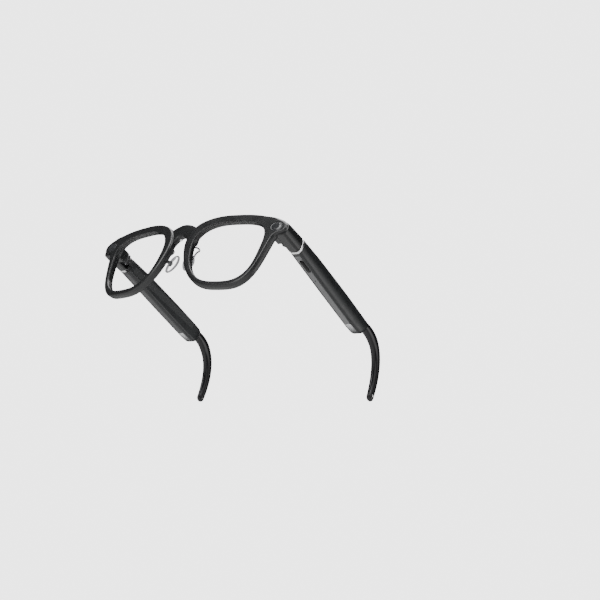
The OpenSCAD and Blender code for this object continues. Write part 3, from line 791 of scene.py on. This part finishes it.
def ear_hook(side_name):
    """The hook, a fair taper out of the shell's end along its curve, with a rounded tip."""
    side = SIDES[side_name]
    curve = [Vector(p) for p in HOOK]
    widths = ((0.0, 3.35), (0.1, 3.4), (0.2, 3.9), (0.35, 4.3), (0.55, 4.1), (0.8, 3.5), (1.0, 3.0))
    thick = ((0.0, 2.95), (0.1, 2.95), (0.2, 2.7), (0.35, 2.45), (0.6, 2.3), (0.85, 2.2), (1.0, 1.93))
    inward = ((0.0, 0.75), (0.1, 0.7), (0.25, 0.35), (0.4, 0.0), (1.0, 0.0))
    rings = []
    count = 48

    def ring(t, scale=1.0, along=0.0):
        p = bezier(curve, t)
        d = (bezier(curve, min(1, t + 0.01)) - bezier(curve, max(0, t - 0.01))).normalized()
        n = Vector((-d[1], d[0]))
        w, a = lookup(widths, t) * scale, lookup(thick, t) * scale
        p = p + d * along
        out = []
        for j in range(count):
            f = 2 * pi * j / count
            q = p + n * (w * sin(f))
            x = HOOK_X - lookup(inward, t) + a * cos(f)
            out.append(row((side * x, q[0], q[1])))
        return out

    start = 0.07
    rings.append(ring(start, 0.6))
    steps = 44
    for i in range(steps + 1):
        rings.append(ring(start + (1 - start) * i / steps))
    for a in (15, 30, 45, 60, 72, 82):
        rings.append(ring(1.0, cos(radians(a)), 2.8 * sin(radians(a))))
    loft(f"ear_hook_{side_name}_skin", rings, HOOK_BLACK, TEMPLE[side_name],
         replaces=[f"ear_hook_{side_name}"], slot="gloss_black", smooth=60, weighted=False)


def tip_rivet(side_name):
    """The small domed head of the rivet near the hook's tip, on its outer side."""
    side = SIDES[side_name]
    rings = []
    turns = [2 * pi * j / 24 for j in range(24)]
    for share, out in ((1.0, -0.4), (1.0, 0.06), (0.88, 0.15), (0.6, 0.22), (0.2, 0.25)):
        x, r = side * (RIVET_X + out), RIVET_R * share
        rings.append([row((x, RIVET_Y + r * cos(t), RIVET_Z + r * sin(t))) for t in turns])
    loft(f"tip_rivet_{side_name}_head", rings, SILVER, TEMPLE[side_name], replaces=[f"tip_rivet_{side_name}"],
         slot="steel", smooth=50, weighted=False)


# ---------------------------------------------------------------- button


def power_button():
    """The capsule in the right strip: (inset, height over the strip's face) at each ring."""
    steps = ((0, 0.78), (0, 0.1), (0.05, -0.05), (0.2, -0.2), (0.45, -0.3), (0.8, -0.36), (1.1, -0.38))
    low, half = bottom(BUTTON_Y), BUTTON_LENGTH / 2 - BUTTON_R
    rings = [[row((BUTTON_X + v, BUTTON_Y + u, low + z)) for u, v in stadium(half, BUTTON_R - inset)]
             for inset, z in steps]
    loft("power_button_cap", rings, BUTTON_BLACK, "button", replaces=["power_button"], slot="gloss_black",
         smooth=60)


# ---------------------------------------------------------------- the object

front_frame()
window("right", "camera_window")
window("left", "status_window")
for name in SIDES:
    lens(name)
    nose(name)
    temple_shell(name)
    temple_band(name)
    ear_hook(name)
    tip_rivet(name)
power_button()
microphone_caps()

# CAD nodes that show, or sit inside, as they are
KEEP = {
    "temple_cover_right": COVER_BLACK, "temple_cover_left": COVER_BLACK,
    # The left strip's darker grey is a painted shadow
    "temple_strip_right": STRIP_GREY, "temple_strip_left": STRIP_GREY_SHADED,
    "speaker_grille_right": GRILLE, "speaker_grille_left": GRILLE, "charge_contacts": CONTACT,
    "front_hinge_right": HINGE_DARK, "front_hinge_left": HINGE_DARK,
    "temple_hinge_right": HINGE_DARK, "temple_hinge_left": HINGE_DARK,
    # Painted shade: the two hinge screws are the same part, the right one in the dark hinge finish, the left
    # one bare steel
    "hinge_screw_right": HINGE_DARK, "hinge_screw_left": STEEL, "hinge_plate_screws": HINGE_DARK,
    "camera_module": PART_DARK, "status_light": BOARD, "front_flex": FLEX,
    "speaker_right": PART_DARK, "speaker_left": PART_DARK, "battery_right": CELL, "battery_left": CELL,
    "main_board": BOARD, "touch_board": BOARD, "button_switch": STEEL, "temple_microphone": STEEL,
    "hook_core_right": STEEL, "hook_core_left": STEEL,
}
SOFT_EDGED = ("temple_strip", "temple_cover", "front_hinge", "temple_hinge")
SOFT_EDGE = 0.12 * MM

for node, material in KEEP.items():
    obj = CAD[node]
    obj.data.materials.clear()
    obj.data.materials.append(material)
for kind in SOFT_EDGED:
    for name in SIDES:
        b = CAD[f"{kind}_{name}"].modifiers.new("soft_edges", "BEVEL")
        b.width = SOFT_EDGE
        b.segments = 2
        b.limit_method = "ANGLE"
        b.angle_limit = radians(35)
        b.harden_normals = False

# ---------------------------------------------------------------- stage, light and camera


def floor():
    bm = bmesh.new()
    bmesh.ops.create_grid(bm, x_segments=2, y_segments=2, size=3)
    mesh = bpy.data.meshes.new("floor")
    bm.to_mesh(mesh)
    bm.free()
    obj = bpy.data.objects.new("floor", mesh)
    obj.location = (0, 0, -0.45)
    bpy.context.scene.collection.objects.link(obj)
    mesh.materials.append(finish_material("floor_pale", (0.82, 0.82, 0.82), 0.7, 0.05, 20, 0, tint=0.01))


floor()

BACKDROP, ROOM, ROOM_BELOW, ROOM_ABOVE = 3.5, 1.0, 0.3, 0.03

world = bpy.data.worlds.new("studio")
bpy.context.scene.world = world
world.use_nodes = True
wn, wl = world.node_tree.nodes, world.node_tree.links.new
back = wn["Background"]
back.inputs["Color"].default_value = (1, 1, 1, 1)
back.inputs["Strength"].default_value = BACKDROP

# What lights the object is dimmer than what is seen behind it: a soft room with a few wide soft panels.
# Each panel is (direction, strength, cosine where it starts, cosine where it is full)
PANELS = (
    ((0.77, 0.64, -0.02), 1.9, 0.88, 0.98),
    ((0.86, -0.2, 0.3), 1.2, 0.88, 0.97),
    ((0.63, -0.56, 0.5), 5.0, 0.94, 0.98),
    ((-0.15, -0.97, 0.12), 6.0, 0.96, 0.98),
    ((-0.05, -0.86, 0.49), 8.0, 0.965, 0.985),
    ((-0.577, -0.652, 0.49), 0.1, 0.5, 0.9),
)
room = wn.new("ShaderNodeBackground")
room.inputs["Strength"].default_value = ROOM
ways = wn.new("ShaderNodeTexCoord")
split = wn.new("ShaderNodeSeparateXYZ")
wl(ways.outputs["Generated"], split.inputs["Vector"])


def soft_step(value, start, full, low, high):
    node = wn.new("ShaderNodeMapRange")
    node.interpolation_type = "SMOOTHSTEP"
    for key, number in (("From Min", start), ("From Max", full), ("To Min", low), ("To Max", high)):
        node.inputs[key].default_value = number
    wl(value, node.inputs["Value"])
    return node.outputs["Result"]


glow = soft_step(split.outputs["Z"], -0.7, 0.2, ROOM_BELOW, ROOM_ABOVE)
for way, strength, start, full in PANELS:
    dot = wn.new("ShaderNodeVectorMath")
    dot.operation = "DOT_PRODUCT"
    dot.inputs[1].default_value = Vector(way).normalized()
    wl(ways.outputs["Generated"], dot.inputs[0])
    total = wn.new("ShaderNodeMath")
    wl(glow, total.inputs[0])
    wl(soft_step(dot.outputs["Value"], start, full, 0, strength), total.inputs[1])
    glow = total.outputs[0]
wl(glow, room.inputs["Color"])
path = wn.new("ShaderNodeLightPath")
either = wn.new("ShaderNodeMixShader")
wl(path.outputs["Is Camera Ray"], either.inputs["Fac"])
wl(room.outputs["Background"], either.inputs[1])
wl(back.outputs["Background"], either.inputs[2])
wl(either.outputs["Shader"], wn["World Output"].inputs["Surface"])


def softbox(name, at, aim, size, power):
    data = bpy.data.lights.new(name, "AREA")
    data.shape = "RECTANGLE"
    data.size, data.size_y = size
    data.energy = power
    obj = bpy.data.objects.new(name, data)
    obj.location = at
    obj.rotation_euler = (Vector(aim) - Vector(at)).to_track_quat("-Z", "Y").to_euler()
    bpy.context.scene.collection.objects.link(obj)


softbox("fill_back", (-0.5, 1.3, 0.7), (0, 0, 0.02), (0.8, 0.6), 1.0)
softbox("overhead", (0.0, -0.3, 1.4), (-0.1, 0, 0), (1.4, 1.4), 42)

# The photo's point of view, in metres
CAMERA_AT = Vector((0.3953, -0.39525, -0.2646))
FORWARD = Vector((-0.577, 0.6523, 0.4912)).normalized()
UP = Vector((0.0597, -0.5662, 0.8222))
UP = (UP - FORWARD * UP.dot(FORWARD)).normalized()
RIGHT = FORWARD.cross(UP)
camera = bpy.data.cameras.new("camera")
camera.lens = 60
camera.sensor_width = 36
camera.clip_start, camera.clip_end = 0.01, 20
view = bpy.data.objects.new("camera", camera)
turned = Matrix((RIGHT, UP, -FORWARD)).transposed().to_4x4()
turned.translation = CAMERA_AT
view.matrix_world = turned
bpy.context.scene.collection.objects.link(view)
bpy.context.scene.camera = view
